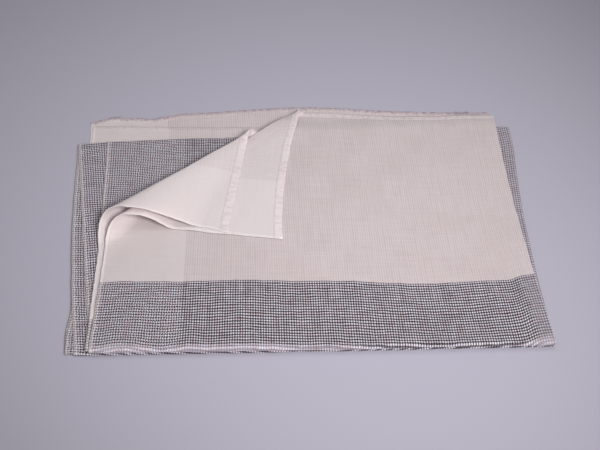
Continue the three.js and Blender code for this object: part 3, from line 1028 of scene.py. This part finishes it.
# Short threads along paths: the stitches of both hems, loose fibres at the raw edges, and a few tufts
threads = {
    "hem_stitches": {
        "Spacing": 2.7,
        "Length": 2.1,
        "Thickness": 0.13,
        "Arch": 0.25,
        "Lean": 0.12,
        "Smallest": 0.45,
        "Seed": 3,
        "colours": (linear(226, 215, 214), linear(186, 170, 172)),
    },
    "loose_fibres": {
        "Spacing": 1.3,
        "Length": 2.4,
        "Thickness": 0.07,
        "Arch": 0.8,
        "Lean": 3.1,
        "Smallest": 0.45,
        "Seed": 8,
        "colours": (linear(214, 202, 206), linear(150, 134, 146)),
    },
    "hem_tufts": {
        "Spacing": 0.16,
        "Length": 4.6,
        "Thickness": 0.09,
        "Arch": 1.5,
        "Lean": 3.1,
        "Smallest": 0.45,
        "Seed": 5,
        "colours": (linear(216, 204, 206), linear(120, 104, 116)),
    },
}
yarnFinish = {"patches": 90.0, "patchEdge": (0.35, 0.65), "roughness": 0.9}
hems = {
    "lines": ((0, 8.4, 377), (3, 6.4, 375)),  # pass, distance from its end, and length of the pass
    "across": (0.002, 0.99, 220),  # start, end and number of points
    "away": (-0.5, 0.5),  # from the middle of the cloth, one line on each face
    "tufts": ((0.05, 0.075), (0.17, 0.185), (0.9, 0.955)),
    "tuftPoints": 12,
    "tuftAlong": 0.998,
    "tuftAway": 0.2,
    "nearby": 0.002,  # the step along a pass that gives the slope of the cloth
    "lowest": 0.1,  # no thread goes nearer the floor
}


def threadTree():
    tree = bpy.data.node_groups.new("threads_along", "GeometryNodeTree")
    sizes = ("Spacing", "Length", "Thickness", "Arch", "Lean", "Smallest")
    kinds = {"Paths": "Geometry", **{name: "Float" for name in sizes}, "Seed": "Int", "Yarn": "Material"}
    for name, kind in kinds.items():
        tree.interface.new_socket(name=name, in_out="INPUT", socket_type="NodeSocket" + kind)
    tree.interface.new_socket(name="Threads", in_out="OUTPUT", socket_type="NodeSocketGeometry")
    start = tree.nodes.new("NodeGroupInput")
    given = {socket.name: Wire(tree, socket) for socket in start.outputs if socket.name}
    paths, length = given["Paths"], given["Length"]
    curve = paths.node("GeometryNodeMeshToCurve", None, {"Mesh": paths})
    spaced = {"Curve": curve, "Length": given["Spacing"]}
    points = paths.node("GeometryNodeCurveToPoints", {"mode": "LENGTH"}, spaced)
    rotation = Wire(tree, points.socket.node.outputs["Rotation"])
    bend = paths.node("ShaderNodeCombineXYZ", None, {0: given["Arch"], 2: length * 0.5})
    end = paths.node("ShaderNodeCombineXYZ", None, {2: length})
    ends = {"Resolution": 3, "Start": (0, 0, 0), "Middle": bend, "End": end}
    line = paths.node("GeometryNodeCurveQuadraticBezier", None, ends)
    section = {"Resolution": 3, 4: given["Thickness"]}
    ring = paths.node("GeometryNodeCurvePrimitiveCircle", None, section)
    swept = {"Curve": line, "Profile Curve": ring, "Fill Caps": True}
    thread = paths.node("GeometryNodeCurveToMesh", None, swept)
    drawn = {2: given["Smallest"], 3: 1.0, 8: given["Seed"]}
    size = paths.node("FunctionNodeRandomValue", {"data_type": "FLOAT"}, drawn, 1)
    placed = {"Points": points, "Instance": thread, "Rotation": rotation, "Scale": size}
    placed = paths.node("GeometryNodeInstanceOnPoints", None, placed)
    leans = (given["Lean"] * -1, given["Lean"])
    limits = [paths.node("ShaderNodeCombineXYZ", None, {0: w, 1: w, 2: w}) for w in leans]
    leaning = {0: limits[0], 1: limits[1], 8: given["Seed"] + 1}
    turns = paths.node("FunctionNodeRandomValue", {"data_type": "FLOAT_VECTOR"}, leaning)
    turned = paths.node("GeometryNodeRotateInstances", None, {"Instances": placed, "Rotation": turns})
    real = paths.node("GeometryNodeRealizeInstances", None, {"Geometry": turned})
    place = paths.node("GeometryNodeInputPosition")
    x = place.node("ShaderNodeSeparateXYZ", None, {0: place})
    y, z = (Wire(tree, x.socket.node.outputs[i]) for i in (1, 2))
    above = place.node("ShaderNodeCombineXYZ", None, {0: x, 1: y, 2: z.high(hems["lowest"] * metres)})
    settled = place.node("GeometryNodeSetPosition", None, {"Geometry": real, "Position": above})
    finish = {"Geometry": settled, "Material": given["Yarn"]}
    done = place.node("GeometryNodeSetMaterial", None, finish)
    out = tree.nodes.new("NodeGroupOutput")
    tree.links.new(done.socket, out.inputs[0])
    return tree


def yarnMaterial(name):
    material, tree, shader = newMaterial(name)
    place = Wire(tree, tree.nodes.new("ShaderNodeTexCoord").outputs["Object"])
    patches = {"Vector": place, "Scale": yarnFinish["patches"], "Detail": 2.0}
    noise = place.node("ShaderNodeTexNoise", None, patches)
    colour = noise.stepUp(*yarnFinish["patchEdge"]).mixed(*threads[name]["colours"])
    tree.links.new(colour.socket, shader.inputs["Base Color"])
    shader.inputs["Roughness"].default_value = yarnFinish["roughness"]
    return material


def threadsAlong(name, tree, points, edges):
    mesh = bpy.data.meshes.new(name + "_paths")
    mesh.from_pydata((np.asarray(points) * metres).tolist(), np.asarray(edges).tolist(), [])
    holder = bpy.data.objects.new(name + "_paths", mesh)
    bpy.context.scene.collection.objects.link(holder)
    modifier = holder.modifiers.new("threads", "NODES")
    modifier.node_group = tree
    wanted = {**threads[name], "Yarn": yarnMaterial(name)}
    wanted.update({size: wanted[size] * metres for size in ("Spacing", "Length", "Thickness", "Arch")})
    for item in tree.interface.items_tree:
        if item.name in wanted:
            modifier[item.identifier] = wanted[item.name]
    evaluated = holder.evaluated_get(bpy.context.evaluated_depsgraph_get())
    made = bpy.data.meshes.new_from_object(evaluated)
    holder.modifiers.remove(modifier)
    bpy.data.objects.remove(holder)
    piece = bpy.data.objects.new(name, made)
    bpy.context.scene.collection.objects.link(piece)
    print(name, len(made.polygons), "faces")
    return piece


# A line across the cloth that lies on one of its faces
def hemPath(across, number, fraction, away):
    near = [fraction + step for step in (0, -hems["nearby"], hems["nearby"])]
    line, before, after = (rowOfCloth(across, number, np.full(len(across), f))[0] for f in near)
    normal = np.cross(np.gradient(line, axis=0), after - before)
    return line + away * normal / np.linalg.norm(normal, axis=1)[:, None]


def chain(lines):
    points, edges = [], []
    for line in lines:
        first = len(points)
        points += line.tolist()
        edges += [(i, i + 1) for i in range(first, len(points) - 1)]
    return points, edges


halfWay = np.linspace(*hems["across"])
stitchLines = [
    hemPath(across, number, fromEnd / length if number == 0 else 1 - fromEnd / length, away)
    for number, fromEnd, length in hems["lines"]
    for across in (halfWay, 3 - halfWay)
    for away in hems["away"]
]
tuftLines = [
    hemPath(np.linspace(*ends, hems["tuftPoints"]), 3, hems["tuftAlong"], hems["tuftAway"])
    for ends in hems["tufts"]
]
used, rimEdges = np.unique(clothRim, return_inverse=True)
tree = threadTree()
pieces = [
    threadsAlong("hem_stitches", tree, *chain(stitchLines)),
    threadsAlong("loose_fibres", tree, clothPoints[used], rimEdges.reshape(-1, 2)),
    threadsAlong("hem_tufts", tree, *chain(tuftLines)),
]
for piece in [scarf, *pieces]:
    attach(piece, "root")
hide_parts("scarf")
print("threads set")


# Plain floor and soft light, in metres: a lamp at the front right, a wide soft one above and a dim room
studio = {
    "floorColour": (0.40, 0.387, 0.455),
    "floorSize": 6.0,
    "floorFinish": {"Roughness": 0.9, "Specular IOR Level": 0.1},
    "aim": (0.0, 0.1, 0.0),
    "key": {
        "place": (0.42, -1.05, 1.1),
        "radius": 0.25,
        "power": 107.0,
        "cone": 53,
        "colour": (1.0, 0.985, 0.985),
    },
    "over": {
        "place": (0.0, 0.15, 1.5),
        "radius": 0.6,
        "power": 36.0,
        "cone": 61,
        "colour": (1.0, 0.99, 1.0),
    },
    "world": {"colour": (0.99, 0.96, 1.0), "strength": 0.2},
}


def makeFloor():
    size = studio["floorSize"] / 2
    mesh = bpy.data.meshes.new("floor")
    corners = [(-size, -size, 0), (size, -size, 0), (size, size, 0), (-size, size, 0)]
    mesh.from_pydata(corners, [], [(0, 1, 2, 3)])
    floor = bpy.data.objects.new("floor", mesh)
    bpy.context.scene.collection.objects.link(floor)
    material, _, shader = newMaterial("floor_paper")
    shader.inputs["Base Color"].default_value = (*studio["floorColour"], 1)
    for name, value in studio["floorFinish"].items():
        shader.inputs[name].default_value = value
    mesh.materials.append(material)


def makeLight(name):
    wanted = studio[name]
    data = bpy.data.lights.new(name, "SPOT")
    data.spot_size = math.radians(wanted["cone"])
    data.spot_blend = 1.0
    data.shadow_soft_size = wanted["radius"]
    data.energy = wanted["power"]
    data.color = wanted["colour"]
    light = bpy.data.objects.new(name, data)
    light.location = wanted["place"]
    toward = Vector(studio["aim"]) - Vector(wanted["place"])
    light.rotation_euler = toward.to_track_quat("-Z", "Y").to_euler()
    bpy.context.scene.collection.objects.link(light)


makeFloor()
makeLight("key")
makeLight("over")
world = bpy.data.worlds.new("studio")
world.use_nodes = True
background = world.node_tree.nodes["Background"]
background.inputs["Color"].default_value = (*studio["world"]["colour"], 1)
background.inputs["Strength"].default_value = studio["world"]["strength"]
bpy.context.scene.world = world
bpy.context.scene.view_settings.view_transform = "Standard"
print("studio lit")
